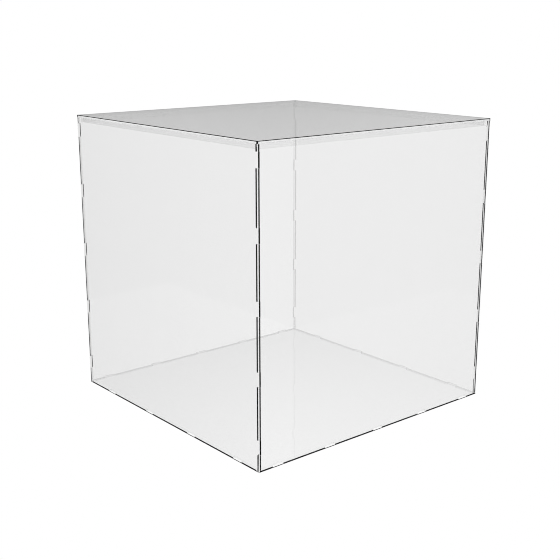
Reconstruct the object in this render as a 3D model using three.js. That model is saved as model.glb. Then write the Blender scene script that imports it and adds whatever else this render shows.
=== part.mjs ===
// Acrylic display cube: a square case of clear laser-cut sheet, finger jointed at its upright
// corners and round its base, with a plain lid that lifts off.
// Millimetres, +Z up. The origin is on the ground, under the centre of the case. The front wall
// faces -Y and the right wall faces +X.
import * as THREE from 'three';

// Driving dimensions
const OUTER = 610; // outside width and depth, over the walls
const HEIGHT = 600; // ground to the top of the lid
const SHEET = 5; // thickness of every sheet
const JOINT_GAP = 0.2; // clearance at each face where two sheets meet

// Finger joints at the upright corners: tabs on the front and back walls, notches in the side walls
const CORNER_TAB_COUNT = 5;
const CORNER_TAB_PITCH = 130;
const CORNER_TAB_LENGTH = 28;
const LOWEST_CORNER_TAB = 48; // height of its centre

// Finger joints round the base: tabs on the base panel, notches in the walls
const BASE_TAB_LENGTH = 25;
const SIDE_BASE_TAB_COUNT = 5;
const SIDE_BASE_TAB_PITCH = 130;
const FRONT_BASE_TAB_COUNT = 4;
const FRONT_BASE_TAB_PITCH = 150;
const FRONT_BASE_TAB_SHIFT = 15; // the front and back rows sit off centre, towards the right wall

// Locating rim under the lid
const RIM_DROP = 10; // how far it reaches below the lid's underside
const RIM_CLEARANCE = 1; // between the rim and the inside of the walls

// Worked out from those
const halfOuter = OUTER / 2;
const innerFace = halfOuter - SHEET; // inside of the walls, from the centre
const sheetEdge = innerFace - JOINT_GAP; // edge of a sheet that fits between two walls
const tabReach = SHEET + JOINT_GAP; // from that edge to the outside of the wall it goes through
const lidUnderside = HEIGHT - SHEET;
const wallTop = lidUnderside - JOINT_GAP;
const rimFace = innerFace - RIM_CLEARANCE; // outside of the rim, from the centre

const cornerTabs = row(CORNER_TAB_COUNT, CORNER_TAB_PITCH, LOWEST_CORNER_TAB);
const sideBaseTabs = centredRow(SIDE_BASE_TAB_COUNT, SIDE_BASE_TAB_PITCH, 0);
const frontBaseTabs = centredRow(FRONT_BASE_TAB_COUNT, FRONT_BASE_TAB_PITCH, FRONT_BASE_TAB_SHIFT);

// Evenly spaced places along an axis, the first one given
function row(count, pitch, first) {
  return Array.from({ length: count }, (_, index) => first + index * pitch);
}

// The same, with the middle of the row given
function centredRow(count, pitch, middle) {
  return row(count, pitch, middle - ((count - 1) * pitch) / 2);
}

// One side of an outline: its ends, and the fingers along it. A finger with a positive reach
// stands out as a tab, and one with a negative reach is cut in as a notch.
function side(start, end, places = [], length = 0, reach = 0) {
  return { start, end, places, length, reach };
}

// Points of one side, all but its end. Outlines run anticlockwise, so outward is to the right of
// the way the side runs. Every side is parallel to an axis, and places are coordinates on it.
function sidePoints({ start, end, places, length, reach }) {
  const along = end.clone().sub(start).normalize();
  const outward = new THREE.Vector2(along.y, -along.x);
  const sense = along.x + along.y;
  const distances = places.map((place) => sense * place - start.dot(along));
  distances.sort((a, b) => a - b);

  const at = (distance, step) =>
    start.clone().addScaledVector(along, distance).addScaledVector(outward, step);
  const points = [start];
  for (const distance of distances) {
    const from = distance - length / 2;
    const to = distance + length / 2;
    points.push(at(from, 0), at(from, reach), at(to, reach), at(to, 0));
  }
  return points;
}

// A flat sheet cut to an outline, lying on the ground plane
function sheet(name, sides, thickness, material) {
  const outline = new THREE.Shape(sides.flatMap(sidePoints));
  const geometry = new THREE.ExtrudeGeometry(outline, { depth: thickness, bevelEnabled: false });
  const mesh = new THREE.Mesh(geometry, material);
  mesh.name = name;
  return mesh;
}

// The corners of a rectangle, anticlockwise from its lower left one
function corners(left, right, bottom, top) {
  return [
    new THREE.Vector2(left, bottom),
    new THREE.Vector2(right, bottom),
    new THREE.Vector2(right, top),
    new THREE.Vector2(left, top),
  ];
}

function clearAcrylic(color) {
  return new THREE.MeshStandardMaterial({
    color,
    roughness: 0.05,
    metalness: 0,
    transparent: true,
    opacity: 0.25,
  });
}

// Base panel, with its tabs out through all four walls
function basePanel() {
  const [a, b, c, d] = corners(-sheetEdge, sheetEdge, -sheetEdge, sheetEdge);
  const sides = [
    side(a, b, frontBaseTabs, BASE_TAB_LENGTH, tabReach),
    side(b, c, sideBaseTabs, BASE_TAB_LENGTH, tabReach),
    side(c, d, frontBaseTabs, BASE_TAB_LENGTH, tabReach),
    side(d, a, sideBaseTabs, BASE_TAB_LENGTH, tabReach),
  ];
  return sheet('base_panel', sides, SHEET, clearAcrylic(0xe4e8e9));
}

// A wall outline, drawn upright: notches below for the base, and fingers up both edges
function wallSides(halfWidth, baseTabs, edgeFingerLength, edgeFingerReach) {
  const [a, b, c, d] = corners(-halfWidth, halfWidth, 0, wallTop);
  return [
    side(a, b, baseTabs, BASE_TAB_LENGTH + 2 * JOINT_GAP, -tabReach),
    side(b, c, cornerTabs, edgeFingerLength, edgeFingerReach),
    side(c, d),
    side(d, a, cornerTabs, edgeFingerLength, edgeFingerReach),
  ];
}

// Front or back wall, which fits between the side walls, with tabs out through them
function tabbedWall(name) {
  const sides = wallSides(sheetEdge, frontBaseTabs, CORNER_TAB_LENGTH, tabReach);
  return sheet(name, sides, SHEET, clearAcrylic(0xe9edee));
}

// Right or left wall, full width, with notches for those tabs
function notchedWall(name) {
  const notchLength = CORNER_TAB_LENGTH + 2 * JOINT_GAP;
  const sides = wallSides(halfOuter, sideBaseTabs, notchLength, -tabReach);
  return sheet(name, sides, SHEET, clearAcrylic(0xeceff0));
}

function lidPanel() {
  const [a, b, c, d] = corners(-halfOuter, halfOuter, -halfOuter, halfOuter);
  const lid = sheet('lid_panel', [side(a, b), side(b, c), side(c, d), side(d, a)], SHEET,
    clearAcrylic(0xd9dddf));
  lid.position.z = lidUnderside;
  return lid;
}

// One strip of the lid's rim, drawn upright
function rimStrip(name, halfLength) {
  const top = lidUnderside - JOINT_GAP;
  const [a, b, c, d] = corners(-halfLength, halfLength, lidUnderside - RIM_DROP, top);
  const sides = [side(a, b), side(b, c), side(c, d), side(d, a)];
  return sheet(name, sides, SHEET, clearAcrylic(0xe1e5e6));
}

// Stands two upright sheets on opposite sides of the case, each with one face at faceDistance
// from the centre and its body inside that. The first one faces -Y.
function opposite(near, far, faceDistance) {
  const pair = new THREE.Group();
  near.position.y = SHEET - faceDistance;
  far.position.y = faceDistance;
  for (const upright of [near, far]) {
    upright.rotation.x = Math.PI / 2;
    pair.add(upright);
  }
  return pair;
}

// A quarter turn takes a pair that faces front and back to the right and left sides
function quarterTurn(pair) {
  pair.rotation.z = Math.PI / 2;
  return pair;
}

const displayCube = new THREE.Group();
displayCube.add(basePanel());
displayCube.add(opposite(tabbedWall('front_wall'), tabbedWall('back_wall'), halfOuter));
displayCube.add(quarterTurn(opposite(notchedWall('right_wall'), notchedWall('left_wall'), halfOuter)));

const lid = new THREE.Group();
lid.add(lidPanel());
lid.add(opposite(rimStrip('lid_rim_front', rimFace), rimStrip('lid_rim_back', rimFace), rimFace));
const shortStrip = rimFace - SHEET - JOINT_GAP; // half the length that fits between the long strips
const shortPair = opposite(
  rimStrip('lid_rim_right', shortStrip),
  rimStrip('lid_rim_left', shortStrip),
  rimFace,
);
lid.add(quarterTurn(shortPair));
displayCube.add(lid);

export default displayCube;
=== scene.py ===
import math

import bpy
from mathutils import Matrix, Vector


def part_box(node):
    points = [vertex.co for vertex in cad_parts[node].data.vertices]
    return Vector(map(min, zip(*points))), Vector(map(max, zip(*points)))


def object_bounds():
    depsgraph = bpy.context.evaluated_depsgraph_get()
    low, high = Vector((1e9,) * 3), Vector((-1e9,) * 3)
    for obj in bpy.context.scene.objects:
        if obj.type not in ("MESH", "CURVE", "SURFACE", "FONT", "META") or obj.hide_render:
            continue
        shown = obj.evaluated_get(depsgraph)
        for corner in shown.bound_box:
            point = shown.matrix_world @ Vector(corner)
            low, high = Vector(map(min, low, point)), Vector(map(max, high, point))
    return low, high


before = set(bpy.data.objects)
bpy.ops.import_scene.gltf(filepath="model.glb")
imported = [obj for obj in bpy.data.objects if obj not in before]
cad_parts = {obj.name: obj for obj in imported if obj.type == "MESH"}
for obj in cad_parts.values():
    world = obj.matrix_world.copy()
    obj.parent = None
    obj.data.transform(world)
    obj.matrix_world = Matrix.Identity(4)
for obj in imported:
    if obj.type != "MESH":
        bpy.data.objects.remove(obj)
cad_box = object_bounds()

MM = 0.001
WHITE = (1.0, 1.0, 1.0, 1.0)

# Camera, on the photograph's angle: degrees, metres, and millimetres for the lens and its sensor
CAMERA_AZIMUTH = 50.04
CAMERA_ELEVATION = 14.82
CAMERA_DISTANCE = 2.131
CAMERA_LENS = 63.1
CAMERA_SENSOR = 36.0
TARGET_HEIGHT = 0.2483

# Overhead light and floor, in metres, and the light's brightness as a share of the floor's
LIGHT_SIZE = 3.0
LIGHT_HEIGHT = 4.0
LIGHT_LEVEL = 1.0
FLOOR_REACH = 30.0
FLOOR_HEIGHT = -0.2 * MM

# How bright the studio looks in a mirror: below the horizon, at heights above it that are sines of
# the elevation, and by what share more on its bright side
SURROUNDINGS_BELOW = 0.15
SURROUNDINGS_ABOVE = (
    (0.0, SURROUNDINGS_BELOW), (0.07, 0.43), (0.12, 0.45), (0.30, 0.55), (0.43, 0.80), (0.7, 1.0),
)
BRIGHT_SIDE = (0.64, 0.77, 0.0)
BRIGHT_SIDE_GAIN = 0.7

# Acrylic and what shows on it
IOR = 1.49
DUST = (0.9, 0.9, 0.9, 1.0)
FROST = (0.93, 0.94, 0.94, 1.0)
# painted shade: near black for the strips along the arrises, standing in for the dark lines that
# refraction and mirroring in the thick cut edges give
PAINTED_SHADE = (0.004, 0.004, 0.005, 1.0)
NOISE_SPREAD = (0.3, 0.7)  # where most of a noise's values lie

# Strips along the arrises, which are the edges between a sheet's outer face and its cuts, and
# which carry painted shade
LINE = 1.6 * MM  # the width of one strip at a bevel weight of 1
STRIPS = 3  # strips on each side of an arris
STRIPS_REACH = STRIPS * LINE
LID_CORNER_REACH = 2.4 * MM
LID_EDGE_REACH = 1.3 * MM
SHEET_SLOT, CUT_SLOT, ARRIS_SLOT, JOINT_SLOT, TOP_SLOT = range(5)

# The tests that tell faces and edges of the CAD sheets apart
SHEET = 5 * MM
CORNER = cad_box[1][0]  # a corner line's distance from the middle, along X and along Y
NEAR_TOP = cad_box[1][2] - 2 * SHEET  # above this are the lid's edges and the walls' top edges
NEAR_FLOOR = 1 * MM
NEAR_OUTSIDE = 2 * MM  # less than the sheet, so that the bottoms of the notches don't count
FLUSH = 0.1 * MM  # how far an edge may be from a plane and still lie in it
SHORT_RISE = 3 * MM  # upright edges rise by more than this, the lid's corners among them
LONG_RISE = 10 * MM  # and those of the walls rise by more than this
SHARP = 0.5  # radians between the two faces of an edge
ALONG = 0.5  # the least cosine between a face's normal and a direction that it looks in

SIDES = {"front": (0, -1, 0), "back": (0, 1, 0), "right": (1, 0, 0), "left": (-1, 0, 0)}
UP = (0, 0, 1)
DOWN = (0, 0, -1)


# ------------------------------------------------------------------ node helpers


def connect(tree, value, socket):
    """Links an output to socket, or sets socket to a plain value."""
    if isinstance(value, bpy.types.NodeSocket):
        tree.links.new(value, socket)
    else:
        socket.default_value = value


def add_node(tree, kind, **inputs):
    """Adds a node and fills in its inputs, whose names are written with _ for a space."""
    node = tree.nodes.new(kind)
    for name, value in inputs.items():
        connect(tree, value, node.inputs[name.replace("_", " ")])
    return node


def math_node(tree, operation, *values, clamp=False):
    node = tree.nodes.new("ShaderNodeMath")
    node.operation = operation
    node.use_clamp = clamp
    for socket, value in zip(node.inputs, values):
        connect(tree, value, socket)
    return node.outputs[0]


def dot_product(tree, first, second):
    node = tree.nodes.new("ShaderNodeVectorMath")
    node.operation = "DOT_PRODUCT"
    connect(tree, first, node.inputs[0])
    connect(tree, second, node.inputs[1])
    return node.outputs["Value"]


def magnitude(tree, value):
    return math_node(tree, "ABSOLUTE", value)


def within(tree, value, low, high):
    above = math_node(tree, "GREATER_THAN", value, low)
    return math_node(tree, "MULTIPLY", above, math_node(tree, "LESS_THAN", value, high))


def all_of(tree, first, *others):
    for other in others:
        first = math_node(tree, "MULTIPLY", first, other)
    return first


def opposite(tree, test):
    return math_node(tree, "SUBTRACT", 1.0, test)


def chosen(tree, test, yes, no):
    gap = math_node(tree, "SUBTRACT", yes, no)
    return math_node(tree, "ADD", math_node(tree, "MULTIPLY", test, gap), no)


def map_range(tree, value, source, target):
    """value, with the range source stretched or squeezed to the range target."""
    node = add_node(
        tree, "ShaderNodeMapRange", Value=value,
        From_Min=source[0], From_Max=source[1], To_Min=target[0], To_Max=target[1],
    )
    return node.outputs["Result"]


def noise(tree, scale, detail, stretch=(1.0, 1.0, 1.0)):
    place = add_node(tree, "ShaderNodeTexCoord").outputs["Object"]
    turned = add_node(tree, "ShaderNodeMapping", Vector=place, Scale=stretch).outputs["Vector"]
    node = add_node(tree, "ShaderNodeTexNoise", Vector=turned, Scale=scale, Detail=detail)
    return node.outputs["Fac"]


# ------------------------------------------------------------------ materials


def grey(level):
    return (level, level, level, 1.0)


def new_material(name):
    material = bpy.data.materials.new(name)
    material.use_nodes = True
    material.node_tree.nodes.clear()
    return material, material.node_tree


def mix_shader(tree, factor, first, second):
    node = tree.nodes.new("ShaderNodeMixShader")
    for socket, value in zip(node.inputs, (factor, first, second)):
        connect(tree, value, socket)
    return node.outputs[0]


def clear(tree, level):
    return add_node(tree, "ShaderNodeBsdfTransparent", Color=grey(level)).outputs[0]


def front_only(tree, factor):
    """factor on a face's front, and nothing on its back."""
    back = tree.nodes.new("ShaderNodeNewGeometry").outputs["Backfacing"]
    return all_of(tree, factor, opposite(tree, back))


def sheet_material(name, clearness, haze):
    """Clear cast sheet. A sheet's two faces mirror as one slab, on the side a ray meets first."""
    material, tree = new_material(name)
    handled = noise(tree, scale=9.0, detail=3.0)
    roughness = map_range(tree, handled, (0.35, 0.75), (0.0, 0.05))
    mirror = add_node(tree, "ShaderNodeBsdfGlossy", Color=WHITE, Roughness=roughness).outputs[0]

    one_face = add_node(tree, "ShaderNodeFresnel", IOR=IOR).outputs[0]
    doubled = math_node(tree, "MULTIPLY", one_face, 2.0)
    both_faces = math_node(tree, "DIVIDE", doubled, math_node(tree, "ADD", one_face, 1.0))
    clean = mix_shader(tree, front_only(tree, both_faces), clear(tree, clearness), mirror)

    dust = add_node(tree, "ShaderNodeBsdfDiffuse", Color=DUST).outputs[0]
    wiped = noise(tree, scale=14.0, detail=6.0, stretch=(1.0, 1.0, 0.35))
    amount = map_range(tree, wiped, (0.4, 0.8), (0.0, haze))
    dusty = mix_shader(tree, front_only(tree, amount), clean, dust)
    add_node(tree, "ShaderNodeOutputMaterial", Surface=dusty)
    return material


def cut_material(name, solid, ahead, behind):
    """Cut edge of a sheet: pale and half clear, with the fine lines that the beam leaves.

    solid is how solid it looks from outside, ahead how clear the rest of it is, and behind how
    clear it is from inside the sheet.
    """
    material, tree = new_material(name)
    lines = noise(tree, scale=900.0, detail=1.0)
    relief = add_node(tree, "ShaderNodeBump", Height=lines, Distance=0.05 * MM, Strength=0.5)
    frost = add_node(
        tree, "ShaderNodeBsdfPrincipled",
        Base_Color=FROST, Roughness=0.35, IOR=IOR, Normal=relief.outputs["Normal"],
    )
    amount = map_range(tree, lines, NOISE_SPREAD, (solid * 0.8, solid * 1.2))
    outside = mix_shader(tree, amount, clear(tree, ahead), frost.outputs[0])
    edge = mix_shader(tree, front_only(tree, 1.0), clear(tree, behind), outside)
    add_node(tree, "ShaderNodeOutputMaterial", Surface=edge)
    return material


def painted_shade_material(name, darkness, behind):
    """Strip along an arris with painted shade: near black from outside the sheet, standing in for
    the dark line that refraction in the thick cut edge gives, and painted darker, as clear as
    behind, from inside it.
    """
    material, tree = new_material(name)
    dark = add_node(
        tree, "ShaderNodeBsdfPrincipled", Base_Color=PAINTED_SHADE, Roughness=0.4, IOR=1.2
    ).outputs[0]
    patches = noise(tree, scale=60.0, detail=3.0)
    uneven = map_range(tree, patches, NOISE_SPREAD, (darkness - 0.02, darkness + 0.01))
    strip = mix_shader(tree, front_only(tree, uneven), clear(tree, behind), dark)
    add_node(tree, "ShaderNodeOutputMaterial", Surface=strip)
    return material


# ------------------------------------------------------------------ dressing of the CAD sheets


def new_geometry_tree(name):
    """An empty tree, and the geometry that comes into it."""
    tree = bpy.data.node_groups.new(name, "GeometryNodeTree")
    for way in ("INPUT", "OUTPUT"):
        tree.interface.new_socket("Geometry", in_out=way, socket_type="NodeSocketGeometry")
    return tree, tree.nodes.new("NodeGroupInput").outputs[0]


def set_slot(tree, geometry, selection, slot):
    node = add_node(
        tree, "GeometryNodeSetMaterialIndex",
        Geometry=geometry, Selection=selection, Material_Index=slot,
    )
    return node.outputs[0]


def face_centre(tree):
    """Where the middle of a face is, in a test that picks faces."""
    return tree.nodes.new("GeometryNodeInputPosition").outputs[0]


def place_parts(tree, place):
    """A place's height, its way in from the nearest corner line, and its depth in the wall."""
    parts = add_node(tree, "ShaderNodeSeparateXYZ", Vector=place)
    across = [magnitude(tree, parts.outputs[axis]) for axis in "XY"]
    way_in = math_node(tree, "SUBTRACT", CORNER, math_node(tree, "MINIMUM", *across))
    depth = math_node(tree, "SUBTRACT", CORNER, math_node(tree, "MAXIMUM", *across))
    return parts.outputs["Z"], way_in, depth


def facing(tree, way):
    """How much a face looks along way: 1 straight along it, and -1 straight against it."""
    normal = tree.nodes.new("GeometryNodeInputNormal").outputs["Normal"]
    return dot_product(tree, normal, way)


def is_sheet_face(tree, outward):
    """1 for a face that looks along outward or against it, and 0 for a cut face."""
    return math_node(tree, "GREATER_THAN", magnitude(tree, facing(tree, outward)), ALONG)


def is_top_edge(tree):
    """1 for the faces of a wall's top edge, which the lid rests on."""
    height = place_parts(tree, face_centre(tree))[0]
    return all_of(
        tree, math_node(tree, "GREATER_THAN", facing(tree, UP), ALONG),
        math_node(tree, "GREATER_THAN", height, NEAR_TOP),
    )


def reaches(corner=0.0, upright=0.0, lowest=0.0, highest=0.0):
    """How far the strips reach from each kind of arris: none from the kinds left out."""
    return dict(corner=corner, upright=upright, lowest=lowest, highest=highest)


def edge_reach(tree, outward, plane, reach):
    """How far the strips reach from an edge, by the kind of arris that it is.

    outward is the sheet's outer side, and plane that face's place along it.
    """
    ends = tree.nodes.new("GeometryNodeInputMeshEdgeVertices")
    here, there = ends.outputs["Position 1"], ends.outputs["Position 2"]
    z_here, in_here, depth_here = place_parts(tree, here)
    z_there, in_there, depth_there = place_parts(tree, there)
    low = math_node(tree, "MINIMUM", z_here, z_there)
    high = math_node(tree, "MAXIMUM", z_here, z_there)
    rise = math_node(tree, "SUBTRACT", high, low)
    farthest_in = math_node(tree, "MAXIMUM", in_here, in_there)
    deepest = math_node(tree, "MAXIMUM", depth_here, depth_there)
    innermost = math_node(
        tree, "MINIMUM", dot_product(tree, here, outward), dot_product(tree, there, outward)
    )

    on_outline = all_of(
        tree, math_node(tree, "GREATER_THAN", innermost, plane - FLUSH),
        math_node(tree, "LESS_THAN", deepest, NEAR_OUTSIDE),
    )
    at_corner = all_of(
        tree, math_node(tree, "LESS_THAN", farthest_in, NEAR_OUTSIDE),
        math_node(tree, "GREATER_THAN", rise, SHORT_RISE),
    )
    upright = math_node(tree, "GREATER_THAN", rise, LONG_RISE)
    lowest = math_node(tree, "LESS_THAN", high, NEAR_FLOOR)
    highest = math_node(tree, "GREATER_THAN", low, NEAR_TOP)

    width = all_of(tree, highest, reach["highest"])
    width = chosen(tree, lowest, reach["lowest"], width)
    width = chosen(tree, upright, reach["upright"], width)
    return chosen(tree, at_corner, reach["corner"], all_of(tree, width, on_outline))


def marks_tree(name, outward, plane, reach, is_wall):
    """Gives the cut faces their slot, and each edge the bevel weight that its strips need."""
    tree, start = new_geometry_tree(name)
    bare = add_node(tree, "GeometryNodeRemoveAttribute", Geometry=start, Name="custom_normal")
    flat = add_node(
        tree, "GeometryNodeSetShadeSmooth", Geometry=bare.outputs[0], Shade_Smooth=False
    )
    on_cut = opposite(tree, is_sheet_face(tree, outward))
    shape = set_slot(tree, flat.outputs[0], on_cut, CUT_SLOT)
    if is_wall:
        shape = set_slot(tree, shape, is_top_edge(tree), TOP_SLOT)

    angle = tree.nodes.new("GeometryNodeInputMeshEdgeAngle").outputs["Unsigned Angle"]
    sharp = math_node(tree, "GREATER_THAN", angle, SHARP)
    width = edge_reach(tree, outward, plane, reach)
    store = tree.nodes.new("GeometryNodeStoreNamedAttribute")
    store.data_type = "FLOAT"
    store.domain = "EDGE"
    connect(tree, shape, store.inputs["Geometry"])
    connect(tree, "bevel_weight_edge", store.inputs["Name"])
    connect(tree, all_of(tree, width, sharp, 1 / STRIPS_REACH), store.inputs["Value"])
    add_node(tree, "NodeGroupOutput", Geometry=store.outputs[0])
    return tree


def lines_tree(name, outward, notched):
    """Picks the strips of a wall that keep the painted shade: those that a cut edge is mirrored
    in.

    All walls have them in the joint and along the floor. Notched ones also have them along the
    corner line, and tabbed ones on the ends of their tabs.
    """
    tree, shape = new_geometry_tree(name)
    slot = tree.nodes.new("GeometryNodeInputMaterialIndex").outputs[0]
    strip = within(tree, slot, ARRIS_SLOT - 0.5, ARRIS_SLOT + 0.5)
    on_face = is_sheet_face(tree, outward)
    on_cut = opposite(tree, on_face)
    height, way_in, depth = place_parts(tree, face_centre(tree))

    upright = all_of(tree, strip, math_node(tree, "GREATER_THAN", height, 5 * LINE))
    seam = all_of(
        tree, within(tree, way_in, SHEET - LINE / 2, SHEET + LINE / 2),
        math_node(tree, "LESS_THAN", depth, 2 * LINE),
    )
    shape = set_slot(tree, shape, all_of(tree, upright, on_cut, seam), JOINT_SLOT)
    beside_corner = within(tree, way_in, LINE, STRIPS * LINE)
    if not notched:
        beside_corner = all_of(tree, beside_corner, on_cut)
    shape = set_slot(tree, shape, all_of(tree, upright, beside_corner), JOINT_SLOT)

    plain = opposite(tree, within(tree, height, -LINE, 2 * LINE))
    shape = set_slot(tree, shape, all_of(tree, strip, on_face, plain), SHEET_SLOT)
    shape = set_slot(tree, shape, all_of(tree, strip, on_cut), CUT_SLOT)
    add_node(tree, "NodeGroupOutput", Geometry=shape)
    return tree


def dress(node, outward, reach, materials):
    """Gives a sheet its materials, and strips along its arrises that take the one with painted
    shade.
    """
    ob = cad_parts[node]
    plane = max(Vector(outward).dot(corner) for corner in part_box(node))
    ob.data.materials.clear()
    for material in materials:
        ob.data.materials.append(material)

    weld = ob.modifiers.new("weld", "WELD")
    weld.merge_threshold = 0.01 * MM
    planar = ob.modifiers.new("planar", "DECIMATE")
    planar.decimate_type = "DISSOLVE"
    planar.angle_limit = math.radians(1)
    is_wall = node.endswith("_wall")
    marks = ob.modifiers.new("marks", "NODES")
    marks.node_group = marks_tree(f"marks_{node}", outward, plane, reach, is_wall)
    if any(reach.values()):
        strips = ob.modifiers.new("strips", "BEVEL")
        strips.limit_method = "WEIGHT"
        strips.width = STRIPS_REACH
        strips.segments = 2 * STRIPS
        strips.profile = 1.0  # a square profile, so that the sheet keeps its shape
        strips.material = ARRIS_SLOT
        strips.use_clamp_overlap = False
        strips.loop_slide = False
    if is_wall:
        notched = outward in (SIDES["right"], SIDES["left"])
        lines = ob.modifiers.new("lines", "NODES")
        lines.node_group = lines_tree(f"lines_{node}", outward, notched)


tab_end = cut_material("tab_end", solid=0.25, ahead=0.98, behind=0.96)
# the arris strips' painted shade, near black, in place of the dark lines that the cut edges give
# by refraction
arris_painted_shade = painted_shade_material("arris", darkness=0.985, behind=0.85)

wall_materials = (
    sheet_material("clear_wall", clearness=0.999, haze=0.01),
    cut_material("cut_edge", solid=0.08, ahead=0.98, behind=0.96),
    arris_painted_shade,
    # painted shade in the joints, in place of the cut edge that is mirrored there
    painted_shade_material("joint_painted_shade", darkness=0.98, behind=0.88),
    cut_material("top_edge", solid=0.6, ahead=0.9, behind=0.85),
)
wall_reach = reaches(corner=STRIPS_REACH, upright=STRIPS_REACH, lowest=STRIPS_REACH)
for side, outward in SIDES.items():
    dress(f"{side}_wall", outward, wall_reach, wall_materials)

base_sheet = sheet_material("clear_base", clearness=0.998, haze=0.015)
dress("base_panel", DOWN, reaches(lowest=LINE), (base_sheet, tab_end, arris_painted_shade))

lid_materials = (
    sheet_material("clear_lid", clearness=0.997, haze=0.015),
    cut_material("lid_cut_edge", solid=0.25, ahead=0.86, behind=0.75),
    # painted shade along the lid's edges and corners
    painted_shade_material("lid_arris_painted_shade", darkness=0.98, behind=0.45),
)
dress("lid_panel", UP, reaches(corner=LID_CORNER_REACH, highest=LID_EDGE_REACH), lid_materials)

rim_sheet = sheet_material("clear_rim", clearness=0.99, haze=0.01)
for side, outward in SIDES.items():
    dress(f"lid_rim_{side}", outward, reaches(), (rim_sheet, tab_end))


# ------------------------------------------------------------------ stage, light and camera


def mirrored_ray(tree):
    """An output that is 1 for a ray that was mirrored, and 0 for any other."""
    path = tree.nodes.new("ShaderNodeLightPath")
    glossy, through = path.outputs["Is Glossy Ray"], path.outputs["Is Transmission Ray"]
    return math_node(tree, "SUBTRACT", glossy, through, clamp=True)


def pale_floor():
    """White where the camera sees it, and darker where a sheet mirrors it."""
    low, high = -FLOOR_REACH, FLOOR_REACH
    outline = [(low, low), (high, low), (high, high), (low, high)]
    mesh = bpy.data.meshes.new("floor")
    mesh.from_pydata([(x, y, FLOOR_HEIGHT) for x, y in outline], [], [range(len(outline))])
    floor = bpy.data.objects.new("floor", mesh)
    bpy.context.scene.collection.objects.link(floor)

    material, tree = new_material("studio_floor")
    level = map_range(tree, mirrored_ray(tree), (0.0, 1.0), (1.0, SURROUNDINGS_BELOW))
    glow = add_node(tree, "ShaderNodeEmission", Color=WHITE, Strength=level).outputs[0]
    add_node(tree, "ShaderNodeOutputMaterial", Surface=glow)
    mesh.materials.append(material)


def studio_world():
    """White where the camera sees it, and graded greys where a sheet mirrors it."""
    world = bpy.data.worlds.new("studio")
    bpy.context.scene.world = world
    world.use_nodes = True
    tree = world.node_tree
    tree.nodes.clear()
    way = add_node(tree, "ShaderNodeTexCoord").outputs["Generated"]
    height = add_node(tree, "ShaderNodeSeparateXYZ", Vector=way).outputs["Z"]
    ramp = tree.nodes.new("ShaderNodeValToRGB")
    connect(tree, height, ramp.inputs[0])
    steps = ramp.color_ramp.elements
    while len(steps) < len(SURROUNDINGS_ABOVE):
        steps.new(0.5)
    for step, (sine, level) in zip(steps, SURROUNDINGS_ABOVE):
        step.position = sine
        step.color = grey(level)

    side = math_node(tree, "MAXIMUM", dot_product(tree, way, BRIGHT_SIDE), 0.0)
    gain = math_node(tree, "ADD", math_node(tree, "MULTIPLY", side, BRIGHT_SIDE_GAIN), 1.0)
    mirrored = math_node(tree, "MULTIPLY", ramp.outputs[0], gain)
    level = chosen(tree, mirrored_ray(tree), mirrored, 1.0)
    back = add_node(tree, "ShaderNodeBackground", Color=WHITE, Strength=level).outputs[0]
    add_node(tree, "ShaderNodeOutputWorld", Surface=back)


def soft_light():
    """A wide overhead panel, as bright as the studio round it."""
    data = bpy.data.lights.new("overhead_softbox", "AREA")
    data.shape = "DISK"
    data.size = LIGHT_SIZE
    area = math.pi * (LIGHT_SIZE / 2) ** 2
    data.energy = LIGHT_LEVEL * math.pi * area  # pi watts a square metre look as bright as white
    light = bpy.data.objects.new("overhead_softbox", data)
    light.location = (0.0, 0.0, LIGHT_HEIGHT)
    bpy.context.scene.collection.objects.link(light)


def add_camera():
    azimuth, elevation = math.radians(CAMERA_AZIMUTH), math.radians(CAMERA_ELEVATION)
    back = Vector((
        math.sin(azimuth) * math.cos(elevation),
        -math.cos(azimuth) * math.cos(elevation),
        math.sin(elevation),
    ))
    data = bpy.data.cameras.new("camera")
    data.lens = CAMERA_LENS
    data.sensor_width = CAMERA_SENSOR
    camera = bpy.data.objects.new("camera", data)
    camera.location = Vector((0.0, 0.0, TARGET_HEIGHT)) + back * CAMERA_DISTANCE
    camera.rotation_mode = "QUATERNION"
    camera.rotation_quaternion = (-back).to_track_quat("-Z", "Y")
    bpy.context.scene.collection.objects.link(camera)
    bpy.context.scene.camera = camera


pale_floor()
studio_world()
soft_light()
add_camera()
scene = bpy.context.scene
scene.view_settings.view_transform = "Standard"
scene.cycles.transparent_max_bounces = 64
scene.cycles.filter_width = 1.0
